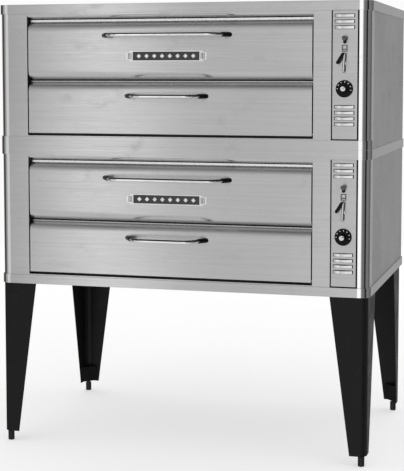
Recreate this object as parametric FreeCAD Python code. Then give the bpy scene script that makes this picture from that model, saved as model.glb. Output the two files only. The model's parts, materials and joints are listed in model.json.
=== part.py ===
"""Double-stacked gas deck oven on four tapered legs.

Millimetres, +Z up, front faces -Y. Every section is the same cabinet built twice.
Inside the helper functions y counts from the front plane of the trim bands towards the
back and z from the underside of a section; place() moves a shape into the shared frame.
"""

import math
import os

import FreeCAD
import Part

V = FreeCAD.Vector

# ---- overall sizes
W = 1530.0            # across the trim bands
D = 985.0             # band front plane to back panel
HS = 568.0            # one section
LEG_TOP = 665.0       # underside of the lower section
SHEET = 2.0
THIN = 1.5

# ---- casing
BAND_OUT = 5.0        # trim bands stand this far in front of the sheets
BAND_R = 47.0
TOP_BAND = 37.5
BASE_BAND = 36.0
SILL = BASE_BAND + 4.5   # lower edge of the door opening
POST_R = 42.0
SEAM_Y = 50.0         # front frame ends here on each side
EDGE_STRIP = 42.0     # raised strip along the front edge of each side panel
DOOR_X0, DOOR_X1 = -636.0, 541.0
HEADER_Z = HS - 56.5
HEADER_R = 19.0
RETURN_Y = 52.0       # depth of the returns round the door opening
PANEL_X0, PANEL_X1 = 610.5, 716.5

# ---- doors
GAP = 4.5
FACE_Y = 5.0
SKIN_D = 27.0
ROLL_H = 40.0         # height over which a rolled door edge curves back
FOOT_EDGE_R = 4.0     # lower edge of the burner door, nearly square
PLUG_D = 46.0
BAKE_Z0, BAKE_Z1, BAKE_LIP = HS - 302.0, HS - 69.5, HS - 61.0
BURN_Z0, BURN_Z1, BURN_LIP = HS - 519.0, HS - 310.5, HS - 306.5
BAKE_PIVOT = (FACE_Y + 20.0, BAKE_Z0 + 20.0)
BURN_PIVOT = (FACE_Y + 8.0, BURN_Z0 + 8.0)
DOOR_MID = 0.5 * (DOOR_X0 + DOOR_X1)
SHAFT_R = 6.0
PIN_R = 4.0
RUN_FIT = 0.05        # radial running clearance

# ---- handles
HANDLE_OUT = 84.0
HANDLE_R = 7.0
HANDLE_LEAN = 54.0
FERRULE_R = 9.5
FERRULE_L = 52.0
BAKE_HANDLE = (257.0, HS - 126.0)
BURN_HANDLE = (162.0, HS - 366.0)

# ---- controls, all on the centre line of the control panel
CX = 661.5
PILOT_Z = HS - 157.0
TAG_Z = HS - 180.5
VALVE_Z = HS - 238.4
DIAL_Z = HS - 335.0
DIAL_R = 33.0
LOUVRE_T = (56.0, 78.5, 100.5, 402.5, 424.5, 446.5, 468.5)
LOUVRE_HALF = 39.0
LOUVRE_OUT = 7.0
LOUVRE_BOW = 2.6
LOUVRE_R = 4.4
PILOT_TILT = 40.0

# ---- chamber
LX0, LX1 = -602.0, 507.0
LINER_Y0, LINER_Y1 = 53.0, 900.0
LINER_Z0, LINER_Z1 = 46.0, 502.0
DECK_Z0, DECK_Z1 = 273.0, 311.0
FLUE_R = 63.5         # collar outside the back panel
FLUE_PIPE_R = 62.0
FLUE_X, FLUE_Z = -47.0, 420.0
FLUE_OUT = 40.0
GAS_R = 13.35         # threaded nipple outside the back panel
GAS_PIPE_R = 12.0
GAS_X, GAS_Z = 690.0, 150.0
GAS_OUT = 45.0
BURNER_Y, BURNER_Z = 100.0, 110.0

# ---- legs and feet
LEG_IN = 8.0
LEG_R = 30.0
LEG_T = 3.0
LEG_Z0 = 42.0
FRONT_TOP, FRONT_FOOT = 148.0, 66.0
SIDE_TOP, SIDE_FOOT = 205.0, 70.0
FOOT_AT = 22.0
FOOT_R = 13.0
STEM_R = 8.0
BOLT_AT = ((50.0, 40.0), (110.0, 25.0), (30.0, 120.0))

# ---- place in the shared frame: bounding box centred in y, floor at z = 0
FRONT_MOST = FACE_Y - HANDLE_OUT - HANDLE_R
Y_SHIFT = -0.5 * (FRONT_MOST + D + GAS_OUT)


def box(x0, x1, y0, y1, z0, z1):
    return Part.makeBox(x1 - x0, y1 - y0, z1 - z0, V(x0, y0, z0))


def rod(r, start, end):
    a, b = V(*start), V(*end)
    return Part.makeCylinder(r, (b - a).Length, a, b - a)


def fuse(shapes):
    return shapes[0].multiFuse(shapes[1:]).removeSplitter()


def cut(shape, tools):
    return shape.cut(tools[0].multiFuse(tools[1:]) if len(tools) > 1 else tools[0])


def edges(points):
    """Closed wire; a point given as ("arc", mid, end) is reached by an arc."""
    made = []
    here = points[0]
    for step in list(points[1:]) + [points[0]]:
        if step[0] == "arc":
            made.append(Part.Arc(here, step[1], step[2]).toShape())
            here = step[2]
        elif (step - here).Length > 1e-6:
            made.append(Part.makeLine(here, step))
            here = step
    return Part.Face(Part.Wire(made))


def prism_x(points, x0, x1):
    """Extrude a (y, z) outline along X. A point ("arc", mid, end) is an arc."""
    turned = []
    for p in points:
        if p[0] == "arc":
            turned.append(("arc", V(x0, *p[1]), V(x0, *p[2])))
        else:
            turned.append(V(x0, *p))
    return edges(turned).extrude(V(x1 - x0, 0, 0))


def plan(inset, radius, back, z0, z1):
    """Footprint of the casing with rounded front corners, extruded in z."""
    x = 0.5 * W - inset
    k = radius * (1.0 - math.sqrt(0.5))
    pts = [
        V(-x, back, z0),
        V(-x, inset + radius, z0),
        ("arc", V(-x + k, inset + k, z0), V(-x + radius, inset, z0)),
        V(x - radius, inset, z0),
        ("arc", V(x - k, inset + k, z0), V(x, inset + radius, z0)),
        V(x, back, z0),
    ]
    return edges(pts).extrude(V(0, 0, z1 - z0))


def wrap(inset, radius, thick, back, z0, z1):
    """Sheet folded round the front and both sides."""
    inner = plan(inset + thick, radius - thick, back + 1.0, z0 - 1.0, z1 + 1.0)
    return plan(inset, radius, back, z0, z1).cut(inner)


# ---------------------------------------------------------------- casing
def top_cover():
    band = wrap(0.0, BAND_R, BAND_OUT, D, HS - TOP_BAND, HS - SHEET)
    hollow = wrap(SHEET, BAND_R - SHEET, BAND_OUT - SHEET + 0.5, D + 1.0, HS - TOP_BAND + SHEET, HS - SHEET)
    return fuse([plan(0.0, BAND_R, D, HS - SHEET, HS), band.cut(hollow)])


def base_pan(back):
    band = wrap(0.0, BAND_R, BAND_OUT, back, 0.0, BASE_BAND)
    hollow = wrap(SHEET, BAND_R - SHEET, BAND_OUT - SHEET + 0.5, back + 1.0, SHEET, BASE_BAND - SHEET)
    return fuse([plan(BAND_OUT, POST_R, D, 0.0, SHEET), band.cut(hollow)])


def header_roll():
    """Curved underside of the header above the doors, with its soffit."""
    c = (FACE_Y + HEADER_R, HEADER_Z + HEADER_R)
    h = math.sqrt(0.5)
    r = HEADER_R
    q = HEADER_R - SHEET
    outline = [
        (c[0] - r, c[1]),
        ("arc", (c[0] - r * h, c[1] - r * h), (c[0], c[1] - r)),
        (c[0], c[1] - q),
        ("arc", (c[0] - q * h, c[1] - q * h), (c[0] - q, c[1])),
    ]
    soffit = box(DOOR_X0, DOOR_X1, c[0], RETURN_Y, HEADER_Z, HEADER_Z + SHEET)
    return [prism_x(outline, DOOR_X0, DOOR_X1), soffit]


def bearing(x0, x1, pivot, half):
    return box(x0, x1, pivot[0] - half, pivot[0] + half, pivot[1] - half, pivot[1] + half)


def front_frame():
    face = wrap(FACE_Y, POST_R, SHEET, SEAM_Y, SHEET, HS - SHEET)
    top = HS - TOP_BAND
    face = cut(face, [
        box(DOOR_X0, DOOR_X1, 0.0, 10.0, SILL, top),
        box(PANEL_X0, PANEL_X1, 0.0, 10.0, BASE_BAND, top),
    ])
    inner = FACE_Y + SHEET
    low = BASE_BAND - SHEET
    walls = [
        box(DOOR_X0 - SHEET, DOOR_X0, inner, RETURN_Y, low, top),
        box(DOOR_X1, DOOR_X1 + SHEET, inner, RETURN_Y, low, top),
        box(DOOR_X0, DOOR_X1, inner, RETURN_Y, SILL - SHEET, SILL),
        box(PANEL_X0 - SHEET, PANEL_X0, inner, 30.0, low, top + SHEET),
        box(PANEL_X1, PANEL_X1 + SHEET, inner, 30.0, low, top + SHEET),
        box(PANEL_X0, PANEL_X1, inner, 30.0, low, BASE_BAND),
        box(PANEL_X0, PANEL_X1, inner, 30.0, top, top + SHEET),
    ]
    blocks = []
    bores = []
    for pivot, half, r in ((BAKE_PIVOT, 15.0, SHAFT_R), (BURN_PIVOT, 6.0, PIN_R)):
        blocks.append(bearing(DOOR_X0 - SHEET - 12.0, DOOR_X0 - SHEET, pivot, half))
        blocks.append(bearing(DOOR_X1 + SHEET, DOOR_X1 + SHEET + 12.0, pivot, half))
        bores.append(rod(r + RUN_FIT, (DOOR_X0 - 30.0, *pivot), (DOOR_X0 + 5.0, *pivot)))
        bores.append(rod(r + RUN_FIT, (DOOR_X1 - 5.0, *pivot), (DOOR_X1 + 30.0, *pivot)))
    return cut(fuse([face] + header_roll() + walls + blocks), bores)


def side_panels(strip_z0):
    out = []
    for s in (-1, 1):
        x = sorted((s * (0.5 * W - BAND_OUT), s * (0.5 * W - BAND_OUT - SHEET)))
        sheet = box(x[0], x[1], SEAM_Y + 0.5, D, SHEET, HS - SHEET)
        x = sorted((s * (0.5 * W - BAND_OUT), s * (0.5 * W - BAND_OUT + 1.0)))
        y0 = SEAM_Y + 0.5
        strip = box(x[0], x[1], y0, y0 + EDGE_STRIP, strip_z0, HS - TOP_BAND - 0.5)
        out.append(fuse([sheet, strip]))
    return Part.makeCompound(out)


def back_panel():
    x = 0.5 * W - BAND_OUT - SHEET
    sheet = box(-x, x, D - SHEET, D, SHEET, HS - SHEET)
    holes = [
        rod(GAS_R + 1.5, (GAS_X, D - 20.0, GAS_Z), (GAS_X, D + 20.0, GAS_Z)),
        rod(FLUE_R + 1.0, (FLUE_X, D - 20.0, FLUE_Z), (FLUE_X, D + 20.0, FLUE_Z)),
    ]
    for column in (-560.0, 430.0):
        for row in range(7):
            z = 90.0 + 22.0 * row
            holes.append(box(column - 55.0, column + 55.0, D - 20.0, D + 20.0, z, z + 6.0))
    return cut(sheet, holes)


# ---------------------------------------------------------------- chamber
def oven_liner():
    """Spot-welded sheets: face frame, five walls and the ledges that carry the deck."""
    y0, y1, t = LINER_Y0, LINER_Y1, SHEET
    z0, z1 = LINER_Z0, LINER_Z1
    right = box(LX1 - t, LX1, y0 + t, y1, z0 + t, z1 - t)
    back = box(LX0 + t, LX1 - t, y1 - t, y1, z0 + t, z1 - t)
    right = cut(right, [
        rod(17.0, (LX1 - 10, BURNER_Y, BURNER_Z), (LX1 + 10, BURNER_Y, BURNER_Z)),
        rod(4.6, (LX1 - 10, 200.0, 450.0), (LX1 + 10, 200.0, 450.0)),
    ])
    back = cut(back, [rod(FLUE_PIPE_R - THIN, (FLUE_X, y1 - 10, FLUE_Z), (FLUE_X, y1 + 10, FLUE_Z))])
    walls = [
        box(LX0, LX1, y0 + t, y1, z0, z0 + t),
        box(LX0, LX1, y0 + t, y1, z1 - t, z1),
        box(LX0, LX0 + t, y0 + t, y1, z0 + t, z1 - t),
        right,
        back,
    ]
    face = [
        box(DOOR_X0, LX0 + t, y0, y0 + t, BASE_BAND, HEADER_Z),
        box(LX1 - t, DOOR_X1, y0, y0 + t, BASE_BAND, HEADER_Z),
        box(LX0 + t, LX1 - t, y0, y0 + t, BASE_BAND, z0 + t),
        box(LX0 + t, LX1 - t, y0, y0 + t, z1 - t, HEADER_Z),
        box(LX0 + t, LX1 - t, y0, y0 + t, DECK_Z0 - 15.0, DECK_Z1 - 11.0),
    ]
    ledges = [
        box(LX0 + t, LX0 + 27, y0 + t, y1 - t, DECK_Z0 - 3.0, DECK_Z0),
        box(LX1 - 27, LX1 - t, y0 + t, y1 - t, DECK_Z0 - 3.0, DECK_Z0),
        box(LX0 + 27, LX1 - 27, y1 - 27, y1 - t, DECK_Z0 - 3.0, DECK_Z0),
        box(DOOR_MID - 13, DOOR_MID + 13, y0 + t, y1 - 27, DECK_Z0 - 3.0, DECK_Z0),
    ]
    return Part.makeCompound(walls + face + ledges)


def insulation():
    block = box(DOOR_X0 + 2, DOOR_X1 - 2, LINER_Y0 + SHEET, LINER_Y1 + 35.0, 38.0, HS - 6.0)
    hollow = box(LX0, LX1, LINER_Y0, LINER_Y1, LINER_Z0, LINER_Z1)
    holes = [
        rod(17.0, (LX1 - 10, BURNER_Y, BURNER_Z), (LX1 + 60, BURNER_Y, BURNER_Z)),
        rod(4.6, (LX1 - 10, 200.0, 450.0), (LX1 + 60, 200.0, 450.0)),
        rod(FLUE_R + 17.0, (FLUE_X, LINER_Y1 - 5, FLUE_Z), (FLUE_X, LINER_Y1 + 60, FLUE_Z)),
    ]
    return cut(block, [hollow] + holes)


def baking_deck():
    y0, y1 = LINER_Y0 + 4.0, LINER_Y1 - 4.0
    left = box(LX0 + 4, DOOR_MID - 1, y0, y1, DECK_Z0, DECK_Z1)
    right = box(DOOR_MID + 1, LX1 - 4, y0, y1, DECK_Z0, DECK_Z1)
    return Part.makeCompound([left, right])


def burner():
    feed = rod(15.0, (-420.0, BURNER_Y, BURNER_Z), (612.0, BURNER_Y, BURNER_Z))
    tubes = [rod(20.0, (x, 84.0, BURNER_Z), (x, 800.0, BURNER_Z)) for x in (-400.0, -47.0, 306.0)]
    feet = [box(x - 3, x + 3, 700.0, 706.0, LINER_Z0 + 2, BURNER_Z - 10) for x in (-400.0, -47.0, 306.0)]
    slots = []
    for x in (-400.0, -47.0, 306.0):
        for i in range(16):
            y = 150.0 + 40.0 * i
            slots.append(box(x - 12, x + 12, y, y + 3.0, BURNER_Z + 14.0, BURNER_Z + 25.0))
    bores = [rod(10.0 + RUN_FIT, (590.0, BURNER_Y, BURNER_Z), (620.0, BURNER_Y, BURNER_Z))]
    return cut(fuse([feed] + tubes + feet), slots + bores)


def gas_manifold():
    body = box(642.0, 704.0, 32.0, 120.0, VALVE_Z - 30.0, VALVE_Z + 30.0)
    rear = rod(GAS_PIPE_R, (GAS_X, BURNER_Y, GAS_Z), (GAS_X, D + 5.0, GAS_Z))
    nipple = rod(GAS_R, (GAS_X, D + 3.0, GAS_Z), (GAS_X, D + GAS_OUT, GAS_Z))
    riser = rod(10.0, (GAS_X, BURNER_Y, GAS_Z), (GAS_X, BURNER_Y, VALVE_Z - 25.0))
    down = rod(10.0, (652.0, BURNER_Y, BURNER_Z), (652.0, BURNER_Y, VALVE_Z - 25.0))
    elbow = Part.makeSphere(10.0, V(652.0, BURNER_Y, BURNER_Z))
    tee = Part.makeSphere(16.0, V(GAS_X, BURNER_Y, GAS_Z))
    stub = rod(10.0, (600.0, BURNER_Y, BURNER_Z), (652.0, BURNER_Y, BURNER_Z))
    bore = rod(6.0, (CX, 20.0, VALVE_Z), (CX, 60.0, VALVE_Z))
    passage = rod(GAS_PIPE_R - 3.0, (GAS_X, D - 60.0, GAS_Z), (GAS_X, D + GAS_OUT + 5.0, GAS_Z))
    return cut(fuse([body, rear, nipple, riser, down, elbow, tee, stub]), [bore, passage])


def thermostat():
    body = box(CX - 28.0, CX + 28.0, 24.0, 64.0, DIAL_Z - 28.0, DIAL_Z + 28.0)
    bore = rod(3.0 + RUN_FIT, (CX, 20.0, DIAL_Z), (CX, 50.0, DIAL_Z))
    run = [(639.0, 50.0, DIAL_Z + 20.0), (639.0, 50.0, 450.0), (639.0, 200.0, 450.0), (545.0, 200.0, 450.0)]
    parts = [cut(body, [bore])]
    for a, b in zip(run, run[1:]):
        parts.append(rod(1.5, a, b))
        parts.append(Part.makeSphere(1.5, V(*b)))
    parts.append(rod(4.0, (545.0, 200.0, 450.0), (470.0, 200.0, 450.0)))
    return fuse(parts)


def flue_outlet():
    y0 = LINER_Y1
    pipe = rod(FLUE_PIPE_R, (FLUE_X, y0, FLUE_Z), (FLUE_X, D + 4.0, FLUE_Z))
    collar = rod(FLUE_R, (FLUE_X, D + 2.0, FLUE_Z), (FLUE_X, D + FLUE_OUT, FLUE_Z))
    flange = rod(FLUE_R + 15.0, (FLUE_X, y0, FLUE_Z), (FLUE_X, y0 + SHEET, FLUE_Z))
    hollow = rod(FLUE_PIPE_R - THIN, (FLUE_X, y0 - 5, FLUE_Z), (FLUE_X, D + FLUE_OUT + 5, FLUE_Z))
    return cut(fuse([pipe, collar, flange]), [hollow])


# ---------------------------------------------------------------- doors
def roll(t):
    """Radius of a rolled edge, moved inwards by t, and how high it reaches at the back."""
    outer = 0.5 * (ROLL_H ** 2 + SKIN_D ** 2) / SKIN_D
    back = FACE_Y + SKIN_D + (1.0 if t else 0.0)
    r = outer - t
    centre_y = FACE_Y + outer
    return centre_y, r, math.sqrt(r ** 2 - (centre_y - back) ** 2), back


def rolled_edge(z, up, t):
    """Points of the arc from the face to the back of a rolled edge whose rim is at z."""
    centre_y, r, reach, back = roll(t)
    centre_z = z - up * ROLL_H
    turn = 0.5 * math.atan2(reach, centre_y - back)
    face = (FACE_Y + t, centre_z)
    mid = (centre_y - r * math.cos(turn), centre_z + up * r * math.sin(turn))
    return face, mid, (back, centre_z + up * reach)


def skin(z0, z1, rolled_foot, x0, x1, t=0.0):
    """Pillow-shaped door front; t offsets the outline inwards."""
    face, mid, rim = rolled_edge(z1, 1.0, t)
    if rolled_foot:
        low_face, low_mid, low_rim = rolled_edge(z0, -1.0, t)
        foot = [low_rim, ("arc", low_mid, low_face)]
    else:
        b = FOOT_EDGE_R - t
        h = b * (1.0 - math.sqrt(0.5))
        f, lo = FACE_Y + t, z0 + t
        foot = [(rim[0], lo), (f + b, lo), ("arc", (f + h, lo + h), (f, lo + b))]
    return prism_x(foot + [face, ("arc", mid, rim)], x0 + t, x1 - t)


def door_skin(z0, z1, rolled_foot, pivot, pin):
    x0, x1 = DOOR_X0 + GAP, DOOR_X1 - GAP
    shell = skin(z0, z1, rolled_foot, x0, x1).cut(skin(z0, z1, rolled_foot, x0, x1, THIN))
    ends = [
        rod(pin, (x0 - 5.0, *pivot), (x0 + 5.0, *pivot)),
        rod(pin, (x1 - 5.0, *pivot), (x1 + 5.0, *pivot)),
    ]
    return cut(shell, ends)


def door_liner(z0, z1, lip, pivot, reach):
    """Back sheet with a shallow plug; the lip shows above the rolled front."""
    x0, x1 = DOOR_X0 + GAP, DOOR_X1 - GAP
    y0 = FACE_Y + SKIN_D
    y1 = FACE_Y + PLUG_D
    sheet = box(x0 + 1.0, x1 - 1.0, y0, y0 + THIN, z0 + 2.0, lip)
    plug = box(x0 + 25.0, x1 - 25.0, y0, y1, pivot[1], z1 - 8.0)
    hollow = box(x0 + 26.5, x1 - 26.5, y0 + THIN, y1 - THIN, pivot[1] + THIN, z1 - 9.5)
    notches = []
    for a, b in ((x0 - 1.0, x0 + 24.0), (x1 - 24.0, x1 + 1.0)):
        notches.append(box(a, b, y0 - 1.0, y1 + 1.0, pivot[1] - reach, pivot[1] + reach))
    return cut(fuse([sheet, plug]), [hollow] + notches)


def pivot_stub(side, pivot, r, length):
    """Drive plate welded inside a door end, with its pivot pin."""
    edge = DOOR_X0 + GAP + THIN if side < 0 else DOOR_X1 - GAP - THIN
    far = DOOR_X0 - length if side < 0 else DOOR_X1 + length
    plate_x = sorted((edge, edge - 3.0 * side))
    y_lo = max(pivot[0] - 7.5, FACE_Y + 3.0)
    y_hi = FACE_Y + SKIN_D - 0.5
    plate = box(plate_x[0], plate_x[1], y_lo, y_hi, pivot[1] - r - 0.5, pivot[1] + 14.0)
    return [plate, rod(r, (edge, *pivot), (far, *pivot))]


def counterweight():
    """Left pivot shaft with its arm and weight, and the right pivot pin."""
    y, z = BAKE_PIVOT
    left = pivot_stub(-1, BAKE_PIVOT, SHAFT_R, 40.0)
    boss = rod(14.0, (-672.0, y, z), (-656.0, y, z))
    arm = prism_x([(y - 12, z - 5), (y + 12, z + 5), (y + 62, z - 90), (y + 38, z - 100)], -670.0, -660.0)
    weight = box(-735.0, -665.0, y + 10.0, y + 110.0, z - 175.0, z - 75.0)
    right = pivot_stub(1, BAKE_PIVOT, SHAFT_R, 13.0)
    return Part.makeCompound([fuse(left + [boss, arm, weight]), fuse(right)])


def burner_door_liner():
    sheet = door_liner(BURN_Z0, BURN_Z1, BURN_LIP, BURN_PIVOT, 9.0)
    left = fuse(pivot_stub(-1, BURN_PIVOT, PIN_R, 13.0))
    right = fuse(pivot_stub(1, BURN_PIVOT, PIN_R, 13.0))
    return Part.makeCompound([sheet, left, right])


def handle(half, z):
    """Bent rod handle with a ferrule over each leaning end."""
    lean, out = HANDLE_LEAN, HANDLE_OUT
    feet = [V(DOOR_MID - half, FACE_Y, z), V(DOOR_MID + half, FACE_Y, z)]
    tops = [V(DOOR_MID - half + lean, FACE_Y - out, z), V(DOOR_MID + half - lean, FACE_Y - out, z)]
    trim = 26.0
    up = (tops[0] - feet[0]).normalize()
    bend_in = tops[0] - up * trim
    bend_out = tops[0] + V(trim, 0, 0)
    mid0 = (bend_in + bend_out) * 0.5 * 0.5 + tops[0] * 0.5
    flip = 2.0 * DOOR_MID
    other = [V(flip - p.x, p.y, p.z) for p in (bend_out, mid0, bend_in)]
    path = Part.Wire([
        Part.makeLine(feet[0], bend_in),
        Part.Arc(bend_in, mid0, bend_out).toShape(),
        Part.makeLine(bend_out, other[0]),
        Part.Arc(other[0], other[1], other[2]).toShape(),
        Part.makeLine(other[2], feet[1]),
    ])
    ring = Part.Wire([Part.makeCircle(HANDLE_R, feet[0], up)])
    bar = path.makePipeShell([ring], True, False)
    ends = []
    for foot, top in zip(feet, tops):
        way = (top - foot).normalize()
        ends.append(Part.makeCylinder(FERRULE_R, FERRULE_L, foot - way * 12.0, way))
    whole = fuse([bar] + ends)
    return whole.cut(box(-900, 900, FACE_Y, FACE_Y + 60.0, z - 40, z + 40))


def nameplate():
    """Plain plate: raised border, stepped ends and a row of small studs."""
    z = HS - 208.4
    y = FACE_Y
    x0, x1 = DOOR_MID - 166.0, DOOR_MID + 166.0
    core = box(x0 + 14, x1 - 14, y - 4.0, y, z - 21.0, z + 21.0)
    tips = box(x0, x1, y - 3.0, y, z - 15.0, z + 15.0)
    field = box(DOOR_MID - 137, DOOR_MID + 137, y - 5.0, y - 2.0, z - 17.0, z + 17.0)
    grooves = []
    for s in (-1, 1):
        for k in range(3):
            c = DOOR_MID + s * (144.0 + 6.0 * k)
            grooves.append(box(c - 1.2, c + 1.2, y - 5.0, y - 2.0, z - 12.0, z + 12.0))
    studs = []
    for k in range(8):
        c = DOOR_MID - 112.0 + 32.0 * k
        studs.append(prism_y([(c - 9, z), (c, z - 9), (c + 9, z), (c, z + 9)], y - 3.4, y - 2.0))
    return fuse([cut(fuse([core, tips]), [field] + grooves)] + studs)


def prism_y(points, y0, y1):
    """Extrude an (x, z) outline along Y."""
    return edges([V(x, y0, z) for x, z in points]).extrude(V(0, y1 - y0, 0))


# ---------------------------------------------------------------- controls
def louvre_plan(x0, x1, y0, y1, r, z0, z1):
    """Footprint of a louvre: a slightly bowed front with rounded ends."""
    k = r * (1.0 - math.sqrt(0.5))
    e = y0 + LOUVRE_BOW
    pts = [
        V(x0, y1, z0),
        V(x0, e + r, z0),
        ("arc", V(x0 + k, e + k, z0), V(x0 + r, e, z0)),
        ("arc", V(0.5 * (x0 + x1), y0, z0), V(x1 - r, e, z0)),
        ("arc", V(x1 - k, e + k, z0), V(x1, e + r, z0)),
        V(x1, y1, z0),
    ]
    return edges(pts).extrude(V(0, 0, z1 - z0))


def louvres():
    """Pressed hoods, open underneath, with the hollows behind them."""
    hoods, slots = [], []
    x0, x1 = CX - LOUVRE_HALF, CX + LOUVRE_HALF
    y, out, t_hood = FACE_Y, FACE_Y - LOUVRE_OUT, 1.2
    for t in LOUVRE_T:
        z = HS - t
        outer = [(y + 1, z + 5.5), (y, z + 5.5), (out, z + 2.0), (out, z - 7.5), (y + 1, z - 7.5)]
        plan = louvre_plan(x0, x1, out, y + 1.0, LOUVRE_R, z - 12.0, z + 10.0)
        hoods.append(prism_x(outer, x0, x1).common(plan))
        lip = out + t_hood
        inner = [(y + 3, z + 4.0), (y + 0.3, z + 4.0), (lip, z + 1.2), (lip, z - 8.5), (y + 3, z - 8.5)]
        plan = louvre_plan(x0 + t_hood, x1 - t_hood, lip, y + 3.0, LOUVRE_R - 1.0, z - 12.0, z + 10.0)
        slots.append(prism_x(inner, x0 + t_hood, x1 - t_hood).common(plan))
    return hoods, slots


def control_panel():
    x0, x1 = PANEL_X0 + 4.5, PANEL_X1 - 5.5
    z0, z1 = BASE_BAND + 4.5, HS - TOP_BAND - 0.5
    y = FACE_Y
    tray = box(x0, x1, y, y + 17.0, z0, z1)
    hollow = box(x0 + SHEET, x1 - SHEET, y + SHEET, y + 18.0, z0 + SHEET, z1 - SHEET)
    hoods, slots = louvres()
    holes = [
        rod(7.0, (CX, 0.0, VALVE_Z), (CX, 12.0, VALVE_Z)),
        rod(5.0, (CX, 0.0, DIAL_Z), (CX, 12.0, DIAL_Z)),
    ]
    return cut(fuse([tray.cut(hollow)] + hoods), slots + holes)


def pilot_axis():
    a = math.radians(PILOT_TILT)
    return V(CX + 1.0, -1.0, PILOT_Z), V(0.0, -math.cos(a), math.sin(a))


def panel_trim():
    """Blank tag frame, valve escutcheon and the collar of the pilot button."""
    tag = box(CX - 11, CX + 11, 3.0, FACE_Y, TAG_Z - 13.5, TAG_Z + 12)
    tag = tag.cut(box(CX - 6.5, CX + 6.5, 1.0, FACE_Y - 1.0, TAG_Z - 3, TAG_Z + 9))
    tag = tag.cut(box(CX - 6.5, CX + 6.5, 1.0, FACE_Y - 1.0, TAG_Z - 10.5, TAG_Z - 7))
    rose = rod(15.5, (CX, FACE_Y - 3.0, VALVE_Z), (CX, FACE_Y, VALVE_Z))
    rose = rose.cut(rod(7.0, (CX, 0.0, VALVE_Z), (CX, 9.0, VALVE_Z)))
    o, d = pilot_axis()
    base = rod(6.8, (o.x, -3.0, PILOT_Z), (o.x, FACE_Y, PILOT_Z))
    neck = Part.makeCylinder(5.4, 10.8, o - d * 4.0, d)
    collar = fuse([base, neck]).cut(box(o.x - 20, o.x + 20, FACE_Y, 30, PILOT_Z - 30, PILOT_Z + 30))
    collar = collar.cut(Part.makeCylinder(3.5 + RUN_FIT, 20.0, o - d * 2.0, d))
    return Part.makeCompound([tag, rose, collar])


def pilot_button():
    o, d = pilot_axis()
    stem = Part.makeCylinder(3.5, 12.0, o + d * 4.0, d)
    ball = Part.makeSphere(9.2, o + d * 21.5)
    return fuse([stem, ball])


def valve_lever():
    """Spindle, round bar leaning a little, and a capsule grip, all turning together."""
    x, z = CX, VALVE_Z
    spindle = rod(6.0 - RUN_FIT, (x, -8.0, z), (x, 56.0, z))
    hub = rod(8.0, (x, -6.0, z), (x, 1.0, z))
    low, high = (x - 2.5, -9.5, z - 29.5), (x + 1.5, -9.5, z + 35.0)
    bar = [rod(5.0, low, high), Part.makeSphere(5.6, V(*low)), Part.makeSphere(5.0, V(*high))]
    a, b = (x - 4.0, -15.0, z + 34.5), (x - 24.0, -15.0, z + 2.5)
    grip = [rod(6.0, a, b), Part.makeSphere(6.0, V(*a)), Part.makeSphere(6.0, V(*b))]
    return fuse([spindle, hub] + bar + grip)


def thermostat_knob():
    x, z = CX, DIAL_Z
    shaft = rod(3.0, (x, 0.0, z), (x, 46.0, z))
    skirt = Part.makeCone(DIAL_R - 3.0, DIAL_R, 4.0, V(x, -4.0, z), V(0, 1, 0))
    rim = rod(DIAL_R, (x, 0.0, z), (x, 3.0, z))
    grip = Part.makeCone(11.0, 14.0, 29.0, V(x, -33.0, z), V(0, 1, 0))
    cap = Part.makeCone(9.0, 10.8, 3.0, V(x, -36.0, z), V(0, 1, 0))
    return fuse([shaft, skirt, rim, grip, cap])


# ---------------------------------------------------------------- legs
def leg():
    """Leg in its own corner: narrow flange along +x, wide flange along +y."""
    r, t, k = LEG_R, LEG_T, 1.0 - math.sqrt(0.5)
    q = r - t
    m, n = r * k, t + q * k
    outline = [
        V(0, SIDE_TOP, LEG_Z0),
        V(0, r, LEG_Z0),
        ("arc", V(m, m, LEG_Z0), V(r, 0, LEG_Z0)),
        V(FRONT_TOP, 0, LEG_Z0),
        V(FRONT_TOP, t, LEG_Z0),
        V(r, t, LEG_Z0),
        ("arc", V(n, n, LEG_Z0), V(t, r, LEG_Z0)),
        V(t, SIDE_TOP, LEG_Z0),
    ]
    body = edges(outline).extrude(V(0, 0, LEG_TOP - LEG_Z0))
    wedge_x = prism_y([(FRONT_FOOT, LEG_Z0), (FRONT_TOP, LEG_TOP), (400, LEG_TOP), (400, LEG_Z0)], -1.0, 10.0)
    wedge_y = prism_x([(SIDE_FOOT, LEG_Z0), (SIDE_TOP, LEG_TOP), (400, LEG_TOP), (400, LEG_Z0)], -1.0, 10.0)
    body = cut(body, [wedge_x, wedge_y])
    plate = gusset_plate(138.0, 190.0, LEG_TOP - 6.0, LEG_TOP)
    shelf = gusset_plate(60.0, 62.0, 70.0, 76.0)
    brace = edges([V(60, t, 46), V(63, t, 46), V(t, 66, 46), V(t, 63, 46)]).extrude(V(0, 0, 70))
    holes = [rod(STEM_R + RUN_FIT, (FOOT_AT, FOOT_AT, 60.0), (FOOT_AT, FOOT_AT, 90.0))]
    for x, y in BOLT_AT:
        holes.append(rod(5.5, (x, y, LEG_TOP - 20.0), (x, y, LEG_TOP + 5.0)))
    return cut(fuse([body, plate, shelf, brace]), holes)


def gusset_plate(reach_x, reach_y, z0, z1):
    t, q = LEG_T, LEG_R - LEG_T
    n = t + q * (1.0 - math.sqrt(0.5))
    outline = [
        V(t, LEG_R, z0),
        ("arc", V(n, n, z0), V(LEG_R, t, z0)),
        V(reach_x, t, z0),
        V(t, reach_y, z0),
    ]
    return edges(outline).extrude(V(0, 0, z1 - z0))


def foot():
    pad = Part.makeCone(FOOT_R - 2.0, FOOT_R, 2.0, V(FOOT_AT, FOOT_AT, 0), V(0, 0, 1))
    body = rod(FOOT_R, (FOOT_AT, FOOT_AT, 2.0), (FOOT_AT, FOOT_AT, 38.0))
    stem = rod(STEM_R, (FOOT_AT, FOOT_AT, 38.0), (FOOT_AT, FOOT_AT, 100.0))
    return fuse([pad, body, stem])


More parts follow.
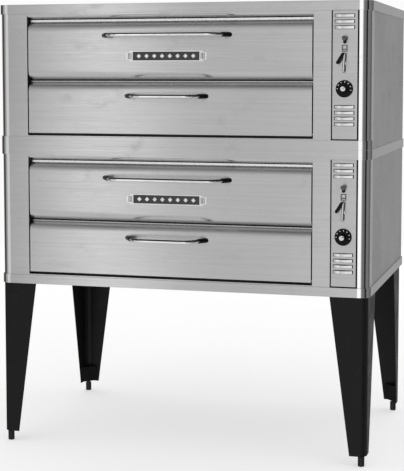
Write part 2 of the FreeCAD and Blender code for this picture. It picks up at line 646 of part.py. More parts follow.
def hexagon(x, y, z0, z1, across):
    r = across / math.sqrt(3.0)
    turns = [math.radians(60 * i) for i in range(6)]
    pts = [V(x + r * math.cos(a), y + r * math.sin(a), z0) for a in turns]
    return edges(pts).extrude(V(0, 0, z1 - z0))


def leg_bolts():
    out = []
    for x, y in BOLT_AT:
        head = hexagon(x, y, LEG_TOP - 13.0, LEG_TOP - 6.0, 17.0)
        shank = rod(5.0, (x, y, LEG_TOP - 6.0), (x, y, LEG_TOP + 12.0))
        nut = hexagon(x, y, LEG_TOP + SHEET, LEG_TOP + SHEET + 8.0, 17.0)
        out.append(fuse([head, shank, nut]))
    return Part.makeCompound(out)


def at_corner(shape, front, left):
    """Put a corner-built shape at one of the four corners."""
    made = shape.copy()
    if not front:
        made = made.mirror(V(0, 0, 0), V(0, 1, 0))
    if not left:
        made = made.mirror(V(0, 0, 0), V(1, 0, 0))
    x = (-1.0 if left else 1.0) * (0.5 * W - LEG_IN)
    y = LEG_IN if front else D - LEG_IN
    made.translate(V(x, y, 0))
    return made


# ---------------------------------------------------------------- assembly
def bolt_holes():
    """Clearance holes for the leg bolts through the lower base pan."""
    out = []
    for x, y in BOLT_AT:
        pin = rod(5.5, (x, y, -5.0), (x, y, 10.0))
        for front in (True, False):
            for left in (True, False):
                out.append(at_corner(pin, front, left))
    return out


def section(lower):
    pan = base_pan(D if lower else SEAM_Y)
    if lower:
        pan = cut(pan, bolt_holes())
    return {
        "top_cover": top_cover(),
        "base_pan": pan,
        "front_frame": front_frame(),
        "side_panels": side_panels(BASE_BAND + 0.5 if lower else SHEET),
        "back_panel": back_panel(),
        "oven_liner": oven_liner(),
        "insulation": insulation(),
        "baking_deck": baking_deck(),
        "burner": burner(),
        "gas_manifold": gas_manifold(),
        "thermostat": thermostat(),
        "flue_outlet": flue_outlet(),
        "control_panel": control_panel(),
        "panel_trim": panel_trim(),
        "baking_door_skin": door_skin(BAKE_Z0, BAKE_Z1, True, BAKE_PIVOT, SHAFT_R + RUN_FIT),
        "baking_door_liner": door_liner(BAKE_Z0, BAKE_Z1, BAKE_LIP, BAKE_PIVOT, 15.0),
        "baking_door_handle": handle(*BAKE_HANDLE),
        "nameplate": nameplate(),
        "counterweight": counterweight(),
        "burner_door_skin": door_skin(BURN_Z0, BURN_Z1, False, BURN_PIVOT, PIN_R + RUN_FIT),
        "burner_door_liner": burner_door_liner(),
        "burner_door_handle": handle(*BURN_HANDLE),
        "thermostat_knob": thermostat_knob(),
        "valve_lever": valve_lever(),
        "pilot_button": pilot_button(),
    }


def place(shape, z):
    shape.translate(V(0, Y_SHIFT, z))
    return shape


def main():
    os.makedirs("parts", exist_ok=True)
    nodes = {}
    for name, base in (("lower", LEG_TOP), ("upper", LEG_TOP + HS)):
        for part, shape in section(name == "lower").items():
            nodes[name + "_" + part] = place(shape, base)
    bolts = []
    for front in (True, False):
        for left in (True, False):
            where = ("front" if front else "back") + ("_left" if left else "_right")
            nodes["leg_" + where] = place(at_corner(leg(), front, left), 0.0)
            nodes["foot_" + where] = place(at_corner(foot(), front, left), 0.0)
            bolts.append(place(at_corner(leg_bolts(), front, left), 0.0))
    nodes["leg_bolts"] = Part.makeCompound([s for b in bolts for s in b.Solids])
    for name, shape in nodes.items():
        if not shape.isValid() or not shape.Solids:
            raise ValueError(name + " is not a valid solid")
        shape.exportStep("parts/" + name + ".step")


main()
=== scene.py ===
"""Looks of the double-stacked deck oven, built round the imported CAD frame.

Metres in the row frame: +Z up, the doors face -Y. mm() turns millimetres into metres, and the
lengths that go through it are millimetres.
"""

import json
import math

import bmesh
import bpy
from mathutils import Matrix, Vector


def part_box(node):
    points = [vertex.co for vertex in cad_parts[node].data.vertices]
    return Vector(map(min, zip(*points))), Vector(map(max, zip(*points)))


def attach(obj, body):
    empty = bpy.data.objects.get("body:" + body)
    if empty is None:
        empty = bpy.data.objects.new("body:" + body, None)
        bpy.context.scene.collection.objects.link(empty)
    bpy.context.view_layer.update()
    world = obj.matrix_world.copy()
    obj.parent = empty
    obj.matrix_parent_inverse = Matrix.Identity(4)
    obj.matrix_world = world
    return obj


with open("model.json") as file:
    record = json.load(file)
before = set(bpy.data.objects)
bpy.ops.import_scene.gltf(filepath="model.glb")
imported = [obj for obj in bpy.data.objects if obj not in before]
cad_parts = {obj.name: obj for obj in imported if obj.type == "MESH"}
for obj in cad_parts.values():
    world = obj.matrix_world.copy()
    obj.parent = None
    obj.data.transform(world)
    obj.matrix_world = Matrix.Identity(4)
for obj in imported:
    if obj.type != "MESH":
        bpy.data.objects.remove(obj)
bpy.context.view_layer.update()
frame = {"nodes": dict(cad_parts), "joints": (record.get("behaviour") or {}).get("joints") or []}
NODES = frame["nodes"]
JOINTS = {j["name"]: j for j in frame["joints"]}
SECTIONS = ("lower", "upper")
CORNERS = ("front_left", "front_right", "back_left", "back_right")


def mm(*values):
    return values[0] / 1000.0 if len(values) == 1 else Vector(values) / 1000.0


# ---- where things are, all taken from the frame
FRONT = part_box("lower_front_frame")[0].y            # outer face of the front sheets
MID_X = 0.5 * sum(c.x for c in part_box("lower_baking_door_skin"))
OUTWARD = Vector((0.0, 1.0, 0.0))                   # the way the back of the oven faces


def base_z(section):
    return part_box(section + "_base_pan")[0].z


def pivot(section, joint):
    return Vector(JOINTS[section + "_" + joint]["pos_m"])


# ---------------------------------------------------------------- node trees
class Graph:
    """A short way to write a node tree."""

    def __init__(self, tree):
        self.tree = tree
        tree.nodes.clear()

    def put(self, socket, value):
        if isinstance(value, bpy.types.Node):
            value = value.outputs[0]
        if isinstance(value, bpy.types.NodeSocket):
            self.tree.links.new(value, socket)
        else:
            socket.default_value = value

    def node(self, kind, inputs=None, **settings):
        made = self.tree.nodes.new("ShaderNode" + kind)
        for key, value in settings.items():
            setattr(made, key, value)
        for key, value in (inputs or {}).items():
            self.put(made.inputs[key], value)
        return made

    def math(self, operation, a, b=0.0):
        return self.node("Math", {0: a, 1: b}, operation=operation)

    def spread(self, value, low, high, to_low=0.0, to_high=1.0):
        """Map low..high smoothly to to_low..to_high."""
        ins = {"Value": value, "From Min": low, "From Max": high}
        ins.update({"To Min": to_low, "To Max": to_high})
        return self.node("MapRange", ins, interpolation_type="SMOOTHSTEP")

    def place(self, scale):
        """Object coordinates, which are row frame metres, scaled per axis."""
        at = self.node("TexCoord").outputs["Object"]
        return self.node("Mapping", {"Vector": at, "Scale": scale})

    def noise(self, scale, detail=3.0, stretch=(1, 1, 1), roughness=0.55):
        ins = {"Vector": self.place(stretch), "Scale": scale, "Detail": detail, "Roughness": roughness}
        return self.node("TexNoise", ins)

    def cells(self, scale, stretch=(1, 1, 1)):
        return self.node("TexVoronoi", {"Vector": self.place(stretch), "Scale": scale})

    def blend(self, a, b, factor):
        """Mix two colours, each a socket or red, green, blue and alpha."""
        return self.node("Mix", {0: factor, 6: a, 7: b}, data_type="RGBA").outputs[2]

    def tint(self, dark, light, factor):
        """Mix two plain colours of red, green and blue."""
        return self.blend((*dark, 1.0), (*light, 1.0), factor)

    def mixed(self, a, b, factor):
        """Mix two plain values."""
        return self.node("Mix", {0: factor, 2: a, 3: b}, data_type="FLOAT").outputs[0]

    def rounded(self, radius):
        return self.node("Bevel", {"Radius": radius}, samples=4)

    def edge_wear_and_highlight_mask(self, radius, reach=0.25):
        """1 on edges and corners, 0 on flats: where handling wears a finish, and where a brushed sheet
        gets a painted highlight.
        """
        flat = self.node("NewGeometry").outputs["Normal"]
        dot = self.node("VectorMath", {0: flat, 1: self.rounded(radius)}, operation="DOT_PRODUCT")
        return self.spread(dot.outputs["Value"], 1.0, 1.0 - reach)

    def bump(self, height, strength, distance, normal=None):
        ins = {"Height": height, "Strength": strength, "Distance": distance}
        if normal is not None:
            ins["Normal"] = normal
        return self.node("Bump", ins)


def grey(level, warm=0.0):
    return (level * (1.0 + warm), level, level * (1.0 - warm))


MATERIALS = {}      # by the names given here, since Blender adds a number to a name in use


def surface(name, paint):
    """New material; paint(graph) returns the inputs of its Principled shader."""
    mat = bpy.data.materials.new(name)
    mat.use_nodes = True
    g = Graph(mat.node_tree)
    shader = g.node("BsdfPrincipled", paint(g))
    out = g.node("OutputMaterial")
    g.put(out.inputs["Surface"], shader)
    MATERIALS[name] = mat


# ---------------------------------------------------------------- materials
ALONG_X = (1.0, 60.0, 60.0)       # stretches noise into scratches that run left to right
SHEEN_AXIS = (0.0, 0.0, 1.0)      # highlights are pulled across the scratches


def brushed(name, level, rough, pull=0.93, cloud=0.05, round_edge=0.0012):
    """Brushed stainless sheet: fine scratches, streaks, faint clouds and smears, and a painted
    highlight that lightens its edges.
    """
    def paint(g):
        fine = g.noise(14.0, 4.0, ALONG_X)
        streak = g.noise(2.2, 3.0, ALONG_X)
        clouds = g.noise(3.0, 3.0)
        smear = g.spread(g.noise(9.0, 5.0, (1.0, 1.0, 1.6)), 0.56, 0.74)
        tone = g.math("ADD", g.math("MULTIPLY", streak, 0.5), g.math("MULTIPLY", clouds, 0.5))
        dark, light = grey(level * (1.0 - cloud)), grey(level * (1.0 + cloud))
        colour = g.tint(dark, light, g.spread(tone, 0.3, 0.7))
        colour = g.blend(colour, (*grey(level * 0.86), 1.0), g.math("MULTIPLY", smear, 0.45))
        # painted highlight: edges and corners are painted lighter than the flat sheet
        colour = g.blend(colour, (*grey(min(1.0, level * 1.22)), 1.0), g.edge_wear_and_highlight_mask(round_edge, 0.3))
        roughness = g.spread(fine, 0.3, 0.7, rough - 0.03, rough + 0.03)
        roughness = g.math("ADD", roughness, g.math("MULTIPLY", smear, 0.06))
        normal = g.bump(fine, 0.05, 0.0004, g.rounded(round_edge))
        normal = g.bump(g.noise(2.4, 1.0), 0.25, 0.0016, normal)
        return {
            "Base Color": colour, "Metallic": 1.0, "Roughness": roughness, "Normal": normal,
            "Anisotropic": pull, "Tangent": g.node("CombineXYZ", dict(zip("XYZ", SHEEN_AXIS))),
        }

    surface(name, paint)


def bright(name, level, rough, rim=0.0, crown=0.0):
    """Chrome plate with a hint of fingerprints; rim paints a dark shade round its outline, crown a dark
    shade on its upper side.
    """
    def paint(g):
        prints = g.spread(g.noise(60.0, 4.0), 0.5, 0.75)
        colour = g.tint(grey(level), grey(level * 0.85), prints)
        # painted shade: the outline goes dark where the surface turns away from view
        outline = g.spread(g.node("LayerWeight", {"Blend": 0.5}).outputs["Facing"], 0.16, 0.55)
        colour = g.blend(colour, (*grey(0.02), 1.0), g.math("MULTIPLY", outline, rim))
        # painted shade: faces that turn upwards are painted dark
        up = g.node("SeparateXYZ", {"Vector": g.node("NewGeometry").outputs["Normal"]}).outputs["Z"]
        painted_top_shade = g.math("MULTIPLY", g.spread(up, 0.1, 0.4), crown)
        colour = g.blend(colour, (*grey(0.015), 1.0), painted_top_shade)
        roughness = g.spread(prints, 0.0, 1.0, rough, rough + 0.1)
        normal = g.bump(g.noise(220.0, 2.0), 0.05, 0.0003, g.rounded(0.0006))
        return {"Base Color": colour, "Metallic": 1.0, "Roughness": roughness, "Normal": normal}

    surface(name, paint)


def coated(name, level, rough, speckle=500.0, wear=2.2, round_edge=0.0012, gloss=0.5):
    """Black enamel, phenolic or rubber: soft orange peel, dust and paler worn edges."""
    def paint(g):
        mottle = g.noise(14.0, 4.0)
        dust = g.spread(g.noise(70.0, 5.0), 0.52, 0.72)
        colour = g.tint(grey(level * 0.8), grey(level * 1.25), mottle)
        colour = g.blend(colour, (*grey(level * 1.9 + 0.004), 1.0), g.math("MULTIPLY", dust, 0.4))
        worn = g.math("MULTIPLY", g.edge_wear_and_highlight_mask(round_edge), g.spread(mottle, 0.35, 0.65))
        colour = g.blend(colour, (*grey(level * wear + 0.02), 1.0), worn)
        roughness = g.spread(mottle, 0.3, 0.7, rough - 0.05, rough + 0.08)
        roughness = g.math("ADD", roughness, g.math("MULTIPLY", dust, 0.12))
        normal = g.bump(g.noise(speckle, 2.0), 0.12, 0.0004, g.rounded(round_edge))
        return {
            "Base Color": colour, "Roughness": roughness, "Normal": normal,
            "Specular IOR Level": gloss,
        }

    surface(name, paint)


def spangled(name, level, rough, size, heat=0.0):
    """Galvanised or aluminised sheet: crystal spangle, plus straw heat tint if hot."""
    def paint(g):
        cell = g.cells(1.0 / size)
        shade = g.node("SeparateColor", {"Color": cell.outputs["Color"]})
        clouds = g.noise(5.0, 4.0)
        colour = g.tint(grey(level * 0.86), grey(level * 1.1), shade)
        stain = (level * 0.78, level * 0.66, level * 0.5, 1.0)
        colour = g.blend(colour, stain, g.math("MULTIPLY", g.spread(clouds, 0.42, 0.7), heat))
        roughness = g.spread(shade, 0.0, 1.0, rough - 0.06, rough + 0.08)
        normal = g.bump(g.noise(160.0, 3.0), 0.1, 0.0003, g.rounded(0.001))
        return {"Base Color": colour, "Metallic": 1.0, "Roughness": roughness, "Normal": normal}

    surface(name, paint)


def rough_stuff(name, dark, light, scale, rough, depth, metallic=0.0, spots=None):
    """Matte grainy stuff: cast iron, ceramic board or mineral wool."""
    def paint(g):
        grain = g.noise(scale, 6.0, roughness=0.65)
        patch = g.noise(6.0, 4.0)
        colour = g.tint(dark, light, g.spread(grain, 0.3, 0.7))
        if spots:
            colour = g.blend(colour, (*spots, 1.0), g.spread(patch, 0.5, 0.72, 0.0, 0.75))
        normal = g.bump(grain, 0.6, depth, g.rounded(0.001))
        roughness = g.spread(patch, 0.3, 0.7, rough - 0.08, rough + 0.08)
        return {"Base Color": colour, "Metallic": metallic, "Roughness": roughness, "Normal": normal}

    surface(name, paint)


def make_materials():
    """Every finish of the oven."""
    brushed("stainless_band", 0.55, 0.21)
    brushed("stainless_front", 0.56, 0.21)
    brushed("stainless_door", 0.56, 0.22, round_edge=0.002)
    brushed("stainless_side", 0.52, 0.36, pull=0.6, cloud=0.16)
    brushed("stainless_panel", 0.52, 0.22, pull=0.9)
    brushed("stainless_post", 0.56, 0.11, pull=0.95, cloud=0.03)
    # painted highlight: a much lighter copy of the post's finish, for the front of the corner posts
    brushed("post_painted_highlight", 0.94, 0.15, pull=0.95, cloud=0.02)
    # painted highlight: a lighter copy of the panel's finish, for the fronts of the louvres
    brushed("louvre_painted_highlight", 0.74, 0.22, pull=0.9)
    # painted highlight: a lighter copy of the side finish, for the front strip of a side sheet
    brushed("side_strip_painted_highlight", 0.74, 0.34, pull=0.6, cloud=0.06)
    brushed("plate_metal", 0.8, 0.28, cloud=0.04, round_edge=0.0008)
    spangled("galvanised", 0.42, 0.46, 0.014)
    spangled("aluminised", 0.62, 0.34, 0.004, heat=0.35)
    # lit and shaded copies of the liner sheet: a painted highlight on the baking door's liner, a
    # painted shade on the burner door's liner
    spangled("baking_liner_painted_highlight", 0.85, 0.30, 0.004, heat=0.03)
    spangled("burner_liner_painted_shade", 0.50, 0.32, 0.004, heat=0.05)
    # painted shade, with a heat tint, for the liner's front flange seen through the gap under the
    # burner door
    spangled("flange_painted_shade", 0.10, 0.6, 0.004, heat=0.5)
    spangled("thermostat_metal", 0.5, 0.3, 0.002)
    spangled("zinc_bolt", 0.55, 0.3, 0.002)

    # painted shade round the outline of the trim
    bright("trim_chrome", 0.7, 0.12, rim=0.95)
    # painted shade on the upper side of the handles
    bright("handle_chrome", 0.86, 0.09, crown=0.95)

    # painted shade: near-black for the walls of the panel's gaps and the ends of the louvres
    coated("gap_painted_shade", 0.012, 0.6, wear=1.5, gloss=0.15)
    coated("plate_field", 0.03, 0.4, wear=1.5)
    coated("knob_black", 0.003, 0.25, wear=1.4, round_edge=0.0006, gloss=0.12)
    coated("button_ball", 0.07, 0.16, wear=1.4)
    coated("grip_black", 0.003, 0.2, wear=1.6, round_edge=0.0008, gloss=0.15)
    coated("leg_enamel", 0.005, 0.36, speckle=300.0, wear=2.5, round_edge=0.002, gloss=0.18)
    coated("foot_steel", 0.008, 0.38, wear=3.0, gloss=0.3)

    coated("tag_grey", 0.10, 0.4, wear=1.3, round_edge=0.0004)
    coated("knob_paint", 0.75, 0.4, wear=1.1, round_edge=0.0004)

    wool, wool_light = (0.25, 0.2, 0.1), (0.55, 0.48, 0.3)
    board, board_light, scorch = (0.36, 0.3, 0.23), (0.6, 0.53, 0.43), (0.13, 0.1, 0.08)
    iron, iron_light, rust = grey(0.05, 0.05), grey(0.12, 0.06), (0.16, 0.08, 0.045)

    # painted shade: dark steel for the ends of the doors and the walls of the door openings
    rough_stuff("end_painted_shade", grey(0.05), grey(0.09), 60.0, 0.5, 0.0003, metallic=0.9)
    rough_stuff("mineral_wool", wool, wool_light, 160.0, 0.95, 0.002)
    rough_stuff("deck_board", board, board_light, 90.0, 0.85, 0.0006, spots=scorch)
    rough_stuff("burner_iron", iron, iron_light, 140.0, 0.62, 0.0008, metallic=0.7, spots=rust)
    rough_stuff("gas_pipe", grey(0.03), grey(0.07), 120.0, 0.5, 0.0004, metallic=0.6)
    rough_stuff("cast_weight", grey(0.06), grey(0.14), 110.0, 0.6, 0.0008, metallic=0.8)


make_materials()


# ---------------------------------------------------------------- CAD nodes
def dress(node, *names):
    """Give a CAD node its finish; further names are extra slots."""
    mesh = NODES[node].data
    mesh.materials.clear()
    for name in names:
        mesh.materials.append(MATERIALS[name])


def repaint(node, index, chosen):
    """Faces for which chosen(centre, normal) is true take the slot index."""
    for face in NODES[node].data.polygons:
        if chosen(face.center, face.normal):
            face.material_index = index


# bar handle: how far its sloping ends lean inwards and stand out, the reach of a dark sleeve
# along the slope, and how far the sleeve's foot is in from the end of the handle
HANDLE_LEAN, HANDLE_OUT = 54.0, 84.0
SLEEVE_REACH, SLEEVE_FOOT = 40.3, 11.3


def on_ferrule(node):
    """True for faces of the two dark sleeves at the ends of a bar handle."""
    lo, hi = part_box(node)
    slope = mm(HANDLE_LEAN, -HANDLE_OUT, 0.0).normalized()
    foot_out = 0.5 * (hi.x - lo.x) - mm(SLEEVE_FOOT)

    def chosen(centre, normal):
        side = 1.0 if centre.x < MID_X else -1.0
        foot_x = MID_X - side * foot_out
        away = Vector((side * (centre.x - foot_x), centre.y - FRONT, 0.0))
        return away.dot(slope) < mm(SLEEVE_REACH)

    return chosen


# dark capsule on the gas lever: its two ends from the hub, as x and z, how far it stands out
# from the front, and a radius that takes it in whole
GRIP_TOP, GRIP_END = (-4.0, 34.5), (-24.0, 2.5)
GRIP_OUT, GRIP_R = 20.0, 6.2


def on_grip(section):
    """True for faces of the dark capsule on the gas lever."""
    hub = pivot(section, "gas_lever_turn")
    a, b = (
        Vector((hub.x + mm(x), FRONT - mm(GRIP_OUT), hub.z + mm(z))) for x, z in (GRIP_TOP, GRIP_END)
    )
    line = b - a

    def chosen(centre, normal):
        t = max(0.0, min(1.0, (centre - a).dot(line) / line.length_squared))
        return (centre - a - t * line).length < mm(GRIP_R)

    return chosen


PLAIN = {       # nodes of a section with one finish all over
    "back_panel": "galvanised",
    "insulation": "mineral_wool",
    "baking_deck": "deck_board",
    "burner": "burner_iron",
    "gas_manifold": "gas_pipe",
    "thermostat": "thermostat_metal",
    "flue_outlet": "galvanised",
    "counterweight": "cast_weight",
    "pilot_button": "button_ball",
    # painted highlight on the baking door's liner, painted shade on the burner door's liner
    "baking_door_liner": "baking_liner_painted_highlight",
    "burner_door_liner": "burner_liner_painted_shade",
}
SHEETS = {"front_frame": "stainless_front", "top_cover": "stainless_band", "base_pan": "stainless_band"}

KNOB_CAP = 2.8                          # thickness of the bright cap
FIELD_IN, FIELD_HALF = 1.9, 0.3         # dark field behind the plate's rim, and a margin
TAG_TOP, TAG_TALL = 70.0, 28.0          # tag frame over the lever's hub, and its height
TAG_OUT = 1.1                           # the tag's faces stand further out than this
FLANGE = 2.5                            # depth of the liner's front flange, which is painted in shade
STRIP = 42.5                            # width of the front strip on a side sheet that gets a painted highlight
JUST_IN = 0.3                           # a face this far from a sheet's outer face is an edge
DOOR_EDGE = 0.2                         # the same for the rolled edges of a door
SHEET_T = 1.2                           # outer faces of the side sheets are no further in
LOUVRE_END = 0.3                        # a normal with more than this in x is on a louvre's end
STRAIGHT = 0.9                          # a normal with more than this on an axis points along it


def dress_section(s):
    for node, finish in PLAIN.items():
        dress(s + "_" + node, finish)
    dress_controls(s)
    dress_doors(s)
    dress_sheets(s)


def dress_controls(s):
    """Lever, knob, tag, collar, and the tray with its louvres."""
    lever, knob, trim, panel = (
        s + name for name in ("_valve_lever", "_thermostat_knob", "_panel_trim", "_control_panel")
    )
    dress(lever, "trim_chrome", "grip_black")
    repaint(lever, 1, on_grip(s))
    dress(knob, "knob_black", "trim_chrome")
    cap_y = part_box(knob)[0].y + mm(KNOB_CAP)
    repaint(knob, 1, lambda c, n: c.y < cap_y)
    dress(trim, "stainless_panel", "grip_black", "tag_grey")
    tag_top = pivot(s, "gas_lever_turn").z + mm(TAG_TOP)
    tag_low = tag_top - mm(TAG_TALL)
    repaint(trim, 1, lambda c, n: c.z > tag_top)
    repaint(trim, 2, lambda c, n: tag_low < c.z <= tag_top and c.y < FRONT - mm(TAG_OUT))
    dress(panel, "stainless_panel", "gap_painted_shade", "louvre_painted_highlight")
    lo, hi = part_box(panel)
    left, right, under = lo.x + mm(JUST_IN), hi.x - mm(JUST_IN), lo.z + mm(JUST_IN)
    proud = FRONT - mm(JUST_IN)
    # painted shade on the tray's side and bottom walls
    repaint(panel, 1, lambda c, n: c.x < left or c.x > right or c.z < under)
    # painted highlight on the fronts of the louvres
    repaint(panel, 2, lambda c, n: c.y < proud and abs(n.x) <= LOUVRE_END and abs(n.z) < 0.1)
    # painted shade on the ends of the louvres
    repaint(panel, 1, lambda c, n: c.y < proud and abs(n.x) > LOUVRE_END)


def dress_doors(s):
    """Handles with dark sleeves, the plate, the chamber with a painted shade on its front flange, and a
    painted shade on the ends of the doors.
    """
    for door in ("baking", "burner"):
        handle = s + "_" + door + "_door_handle"
        dress(handle, "handle_chrome", "grip_black")
        repaint(handle, 1, on_ferrule(handle))
        skin = s + "_" + door + "_door_skin"
        dress(skin, "stainless_door", "end_painted_shade")
        lo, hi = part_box(skin)
        left, right = lo.x + mm(DOOR_EDGE), hi.x - mm(DOOR_EDGE)
        # painted shade on the door's two ends
        repaint(skin, 1, lambda c, n: c.x < left or c.x > right)
    plate = s + "_nameplate"
    dress(plate, "plate_metal", "plate_field")
    field_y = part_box(plate)[0].y + mm(FIELD_IN)
    repaint(plate, 1, lambda c, n: abs(c.y - field_y) < mm(FIELD_HALF) and n.y < -STRAIGHT)
    liner = s + "_oven_liner"
    dress(liner, "aluminised", "flange_painted_shade")
    flange_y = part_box(liner)[0].y + mm(FLANGE)
    # painted shade on the liner's front flange
    repaint(liner, 1, lambda c, n: c.y < flange_y)


ROUND = 0.03        # a normal with more than this in x and in y is on a rounded corner post
PAINTED_HIGHLIGHT_TO = 0.30     # the post takes a painted highlight where its normal has less than this in x
OPENING_X = 720.0   # all edges of the front sheet's openings are nearer the middle than this
PANEL_X = 600.0     # the panel's opening starts to the right of this


def dress_sheets(s):
    """Polished corner posts with a painted highlight on their front, a painted highlight on the side
    sheets' front strips, and painted shade on the edges of the openings.
    """
    for node, finish in SHEETS.items():
        sheet = s + "_" + node
        dress(sheet, finish, "stainless_post", "post_painted_highlight", "gap_painted_shade", "end_painted_shade")
        repaint(sheet, 1, lambda c, n: min(abs(n.x), abs(n.y)) > ROUND and abs(n.z) < ROUND)
        # painted highlight on the front of each corner post
        repaint(sheet, 2, lambda c, n: ROUND < abs(n.x) < PAINTED_HIGHLIGHT_TO and n.y < 0.0 and abs(n.z) < ROUND)
    behind = FRONT + mm(JUST_IN)
    front = s + "_front_frame"

    def on_opening(c, n):
        return c.y > behind and abs(c.x) < mm(OPENING_X) and abs(n.x) > STRAIGHT

    # painted shade on the walls of the openings
    repaint(front, 4, on_opening)
    # painted shade on the opening walls beside the panel
    repaint(front, 3, lambda c, n: on_opening(c, n) and c.x > mm(PANEL_X))
    sides = s + "_side_panels"
    dress(sides, "stainless_side", "side_strip_painted_highlight")
    lo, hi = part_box(sides)
    outer, strip_y = hi.x - mm(SHEET_T), lo.y + mm(STRIP)
    # painted highlight on the front strip of the side sheet's outer face
    repaint(sides, 1, lambda c, n: abs(c.x) > outer and c.y < strip_y)


for section in SECTIONS:
    dress_section(section)
for corner in CORNERS:
    dress("leg_" + corner, "leg_enamel")
    dress("foot_" + corner, "foot_steel")
dress("leg_bolts", "zinc_bolt")


# ---------------------------------------------------------------- small pieces that ride the bodies
class Shape:
    """Gathers blocks and discs into one piece of mesh."""

    def __init__(self):
        self.bm = bmesh.new()

    def block(self, centre, size, turn=None):
        spin = turn or Matrix.Identity(4)
        at = Matrix.Translation(centre) @ spin @ Matrix.Diagonal((*size, 1.0))
        bmesh.ops.create_cube(self.bm, size=1.0, matrix=at)

    def disc(self, centre, along, radius, depth, end_radius=None, sides=32):
        at = Matrix.Translation(centre) @ along.to_track_quat("Z", "Y").to_matrix().to_4x4()
        end = radius if end_radius is None else end_radius
        bmesh.ops.create_cone(
            self.bm, cap_ends=True, segments=sides,
            radius1=radius, radius2=end, depth=depth, matrix=at,
        )

    def ride(self, name, material, body, bevel=0.0):
        mesh = bpy.data.meshes.new(name)
        self.bm.to_mesh(mesh)
        self.bm.free()
        mesh.materials.append(MATERIALS[material])
        piece = bpy.data.objects.new(name, mesh)
        bpy.context.scene.collection.objects.link(piece)
        if bevel:
            edge = piece.modifiers.new("edge", "BEVEL")
            edge.width = bevel
            edge.segments = 2
            edge.limit_method = "ANGLE"
        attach(piece, body)


TICKS, FIRST_TICK, TICK_STEP = 7, -90.0, 32.0       # degrees clockwise from the top
TICK_R, TICK = 26.0, (2.2, 0.6, 4.4)
SKIRT_OUT = 4.1                                     # face of the skirt in front of the pivot
NOTCH_AT, NOTCH_R, NOTCH = 50.0, 5.0, (2.4, 0.6, 8.0)


def dial_marks(s):
    """Scale ticks on the skirt of the knob, and a pointer notch on its cap."""
    hub = pivot(s, "dial_turn")

    def mark(shape, degrees, y, radius, size):
        angle = math.radians(degrees)
        out = Vector((math.sin(angle), 0.0, math.cos(angle)))
        at = Vector((hub.x, y, hub.z)) + out * mm(radius)
        shape.block(at, mm(*size), Matrix.Rotation(angle, 4, "Y"))

    marks = Shape()
    for k in range(TICKS):
        mark(marks, FIRST_TICK + TICK_STEP * k, hub.y - mm(SKIRT_OUT), TICK_R, TICK)
    marks.ride(s + "_dial_marks", "knob_paint", s + "_dial")
    notch = Shape()
    cap_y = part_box(s + "_thermostat_knob")[0].y - mm(0.1)
    mark(notch, NOTCH_AT, cap_y, NOTCH_R, NOTCH)
    notch.ride(s + "_dial_pointer", "knob_black", s + "_dial")


SCREW_R, HEAD_BEVEL = 4.5, 0.4
EDGE = 14.0         # screws of the back panel, in from its edges


def screw(shape, slots, at):
    """Domed head that faces backwards, with a socket in it drawn as a thin black disc, a painted shade
    of the hollow.
    """
    r = mm(SCREW_R)
    shape.disc(at + OUTWARD * r * 0.15, OUTWARD, r, r * 0.5, r * 0.62, 24)
    # painted shade: the socket is a black disc on the head, not a hollow
    slots.disc(at + OUTWARD * r * 0.42, OUTWARD, r * 0.3, r * 0.06, sides=6)


def back_screws(s):
    """Two columns and two rows of screws that hold the back panel."""
    lo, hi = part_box(s + "_back_panel")
    heads, slots = Shape(), Shape()
    rows = [lo.z + mm(EDGE) + k * (hi.z - lo.z - mm(2.0 * EDGE)) / 4.0 for k in range(5)]
    for z in rows:
        for x in (lo.x + mm(EDGE), hi.x - mm(EDGE)):
            screw(heads, slots, Vector((x, hi.y, z)))
    for k in range(1, 6):
        x = lo.x + k * (hi.x - lo.x) / 6.0
        for z in (rows[0], rows[-1]):
            screw(heads, slots, Vector((x, hi.y, z)))
    heads.ride(s + "_back_screws", "zinc_bolt", "cabinet", mm(HEAD_BEVEL))
    slots.ride(s + "_back_screw_sockets", "grip_black", "cabinet")


def door_screws(s, door):
    """Screws that fix the inner liner of a door."""
    lo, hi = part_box(s + "_" + door + "_door_liner")
    heads, slots = Shape(), Shape()
    for across in (-0.46, -0.23, 0.0, 0.23, 0.46):      # shares of the width, from the middle
        for up in (0.3, 0.86):                          # shares of the height
            x, z = MID_X + across * (hi.x - lo.x), lo.z + up * (hi.z - lo.z)
            screw(heads, slots, Vector((x, hi.y, z)))
    body = s + "_" + door + "_door"
    heads.ride(s + "_" + door + "_liner_screws", "zinc_bolt", body, mm(HEAD_BEVEL))
    slots.ride(s + "_" + door + "_liner_sockets", "grip_black", body)


PIPE_X, PIPE_UP = 690.0, 150.0          # axis of the gas nipple, from the middle and the base
THREADS, PITCH, FIRST_THREAD = 9, 1.8, 2.0
ROOT_R, CREST_R, RIDGE = 12.9, 13.7, 0.9


def nipple_threads(s):
    """Thread ridges on the gas nipple behind the oven."""
    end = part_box(s + "_gas_manifold")[1].y
    ridges = Shape()
    for k in range(THREADS):
        y = end - mm(FIRST_THREAD) - mm(PITCH) * k
        at = Vector((mm(PIPE_X), y, base_z(s) + mm(PIPE_UP)))
        ridges.disc(at, OUTWARD, mm(ROOT_R), mm(RIDGE), mm(CREST_R), 40)
    ridges.ride(s + "_nipple_threads", "zinc_bolt", "cabinet")


for section in SECTIONS:
    nipple_threads(section)
    dial_marks(section)
    back_screws(section)
    door_screws(section, "baking")
    door_screws(section, "burner")


# ---------------------------------------------------------------- camera, floor and light
AZIMUTH, TILT = math.radians(15.593), math.radians(4.635)       # to the right, and down
CAMERA_AT = (1.533, -5.605, 1.524)                              # metres
SENSOR, LENS = 36.0, 103.91
SHIFT_UP = -0.11
NEAR, FAR = 0.1, 100.0


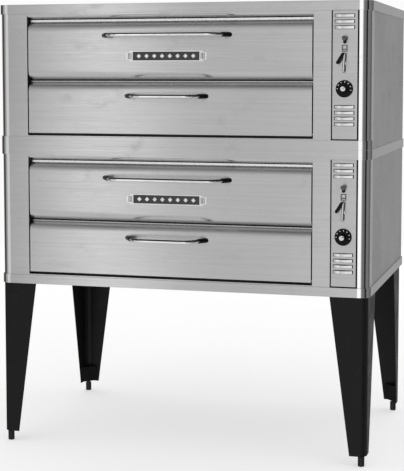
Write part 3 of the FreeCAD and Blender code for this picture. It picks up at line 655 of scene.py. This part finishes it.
def make_camera():
    """A long lens at the front right, level with the upper doors and tilted a little down."""
    data = bpy.data.cameras.new("camera")
    data.sensor_width = SENSOR
    data.lens = LENS
    data.shift_y = SHIFT_UP
    data.clip_start, data.clip_end = NEAR, FAR
    cam = bpy.data.objects.new("camera", data)
    cam.location = CAMERA_AT
    level = math.cos(TILT)
    look = Vector((-math.sin(AZIMUTH) * level, math.cos(AZIMUTH) * level, -math.sin(TILT)))
    cam.rotation_mode = "QUATERNION"
    cam.rotation_quaternion = look.to_track_quat("-Z", "Y")
    bpy.context.scene.collection.objects.link(cam)
    bpy.context.scene.camera = cam


FLOOR_R, FLOOR_SIDES = 6.5, 96          # metres
FLOOR_Z = -0.0005                       # metres, just clear of the feet
FLOOR_GLOW = 0.42
WHITE = (1.0, 1.0, 1.0, 1.0)


def make_floor():
    """Round white floor that the metal doesn't mirror."""
    mesh = bpy.data.meshes.new("floor")
    bm = bmesh.new()
    bmesh.ops.create_circle(bm, cap_ends=True, segments=FLOOR_SIDES, radius=FLOOR_R)
    bm.to_mesh(mesh)
    bm.free()
    floor = bpy.data.objects.new("floor", mesh)
    floor.location.z = FLOOR_Z
    floor.visible_glossy = False
    bpy.context.scene.collection.objects.link(floor)

    def paint(g):
        tone = g.tint(grey(0.60), grey(0.63), g.noise(1.5, 3.0))
        return {
            "Base Color": tone, "Roughness": 0.9, "Specular IOR Level": 0.1,
            "Emission Color": WHITE, "Emission Strength": FLOOR_GLOW,
        }

    surface("floor_white", paint)
    mesh.materials.append(MATERIALS["floor_white"])


# what the metal mirrors round the horizon: (degrees from the front, towards the right; brightness)
STUDIO = (
    (-180, 0.42), (-135, 0.42), (-120, 0.10), (-88, 0.08), (-72, 0.62), (-40, 0.62), (-26, 0.56),
    (-23.5, 0.56), (-21.6, 0.78), (-20.6, 1.62), (-19.2, 1.62), (-18.0, 0.76), (-14, 0.72), (-12, 0.76),
    (-10.3, 0.90), (-5, 1.04), (-2, 1.05), (25, 1.05), (33, 0.42), (38, 0.27), (60, 0.24),
    (66, 0.01), (78, 0.01), (85, 0.30), (108, 0.30), (124, 0.20), (150, 0.20), (164, 0.42), (180, 0.42),
)
MIDDLE, CEILING, BELOW = 0.52, 0.07, 0.80     # higher up, straight overhead, and down
EVEN, BACKDROP = 0.95, 0.97                   # for matte stuff, and seen straight by the camera


def make_world():
    """Soft studio: metal mirrors bands of light and dark, everything else gets even light."""
    world = bpy.data.worlds.new("studio")
    world.use_nodes = True
    bpy.context.scene.world = world
    g = Graph(world.node_tree)
    way = g.node("SeparateXYZ", {"Vector": g.node("TexCoord").outputs["Generated"]})
    turn = g.math("ARCTAN2", way.outputs["X"], g.math("MULTIPLY", way.outputs["Y"], -1.0))
    turn = g.math("ADD", g.math("MULTIPLY", turn, 0.5 / math.pi), 0.5)
    ramp = g.node("ValToRGB", {0: turn})
    stops = ramp.color_ramp.elements
    while len(stops) > 1:
        stops.remove(stops[-1])
    top = max(level for _, level in STUDIO)
    for i, (angle, level) in enumerate(STUDIO):
        stop = stops[0] if i == 0 else stops.new((angle + 180.0) / 360.0)
        stop.position = (angle + 180.0) / 360.0
        stop.color = (*grey(level / top), 1.0)
    round_about = g.math("MULTIPLY", ramp, top)
    height = way.outputs["Z"]
    level = g.mixed(round_about, MIDDLE, g.spread(height, 0.34, 0.62))
    level = g.mixed(level, CEILING, g.spread(height, 0.60, 0.98))
    level = g.mixed(level, BELOW, g.spread(height, -0.3, -0.55))
    path = g.node("LightPath")
    level = g.mixed(EVEN, level, path.outputs["Is Glossy Ray"])
    level = g.mixed(level, BACKDROP, path.outputs["Is Camera Ray"])
    light = g.node("Background", {"Color": WHITE, "Strength": level})
    g.put(g.node("OutputWorld").inputs["Surface"], light)


make_camera()
make_floor()
make_world()
view = bpy.context.scene.view_settings
view.view_transform = "Standard"
view.look = "None"
